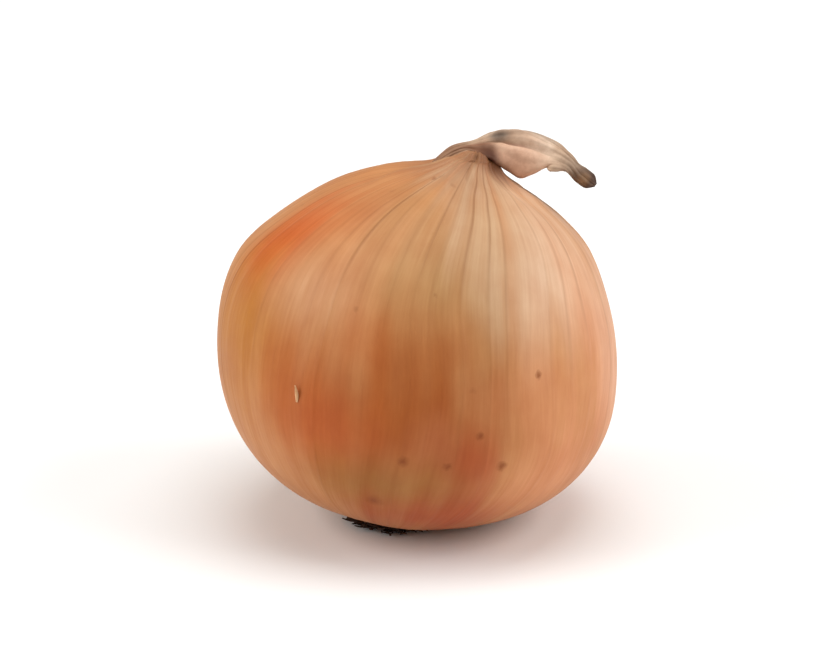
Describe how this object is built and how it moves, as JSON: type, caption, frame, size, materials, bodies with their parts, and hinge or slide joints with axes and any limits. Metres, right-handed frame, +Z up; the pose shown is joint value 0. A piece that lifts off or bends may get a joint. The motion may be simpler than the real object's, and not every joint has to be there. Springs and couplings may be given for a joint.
{
  "type": "onion",
  "caption": "Whole brown onion with a round ribbed bulb, a withered leaf folded over its neck and a small root plate, resting on a flat spot.",
  "frame": {"origin": "middle of the small flat spot that the onion rests on", "axes": "+Z up from the resting surface, +X towards the side that the withered leaf falls to, +Y towards the side that the bulb leans back to"},
  "size_m": [0.0763, 0.0765, 0.0737],
  "materials": {
    "bulb_skin": "thin dry papery skin, satin, golden to orange tan with darker veins",
    "dried_leaf": "withered papery leaf, matt grey tan with pinkish folds and a dark tip",
    "dry_root": "dry corky disc and wiry rootlets, matt dark brown"
  },
  "bodies": {
    "root": {"bulb": "bulb_skin", "withered_leaf": "dried_leaf", "root_plate": "dry_root"}
  },
  "joints": []
}
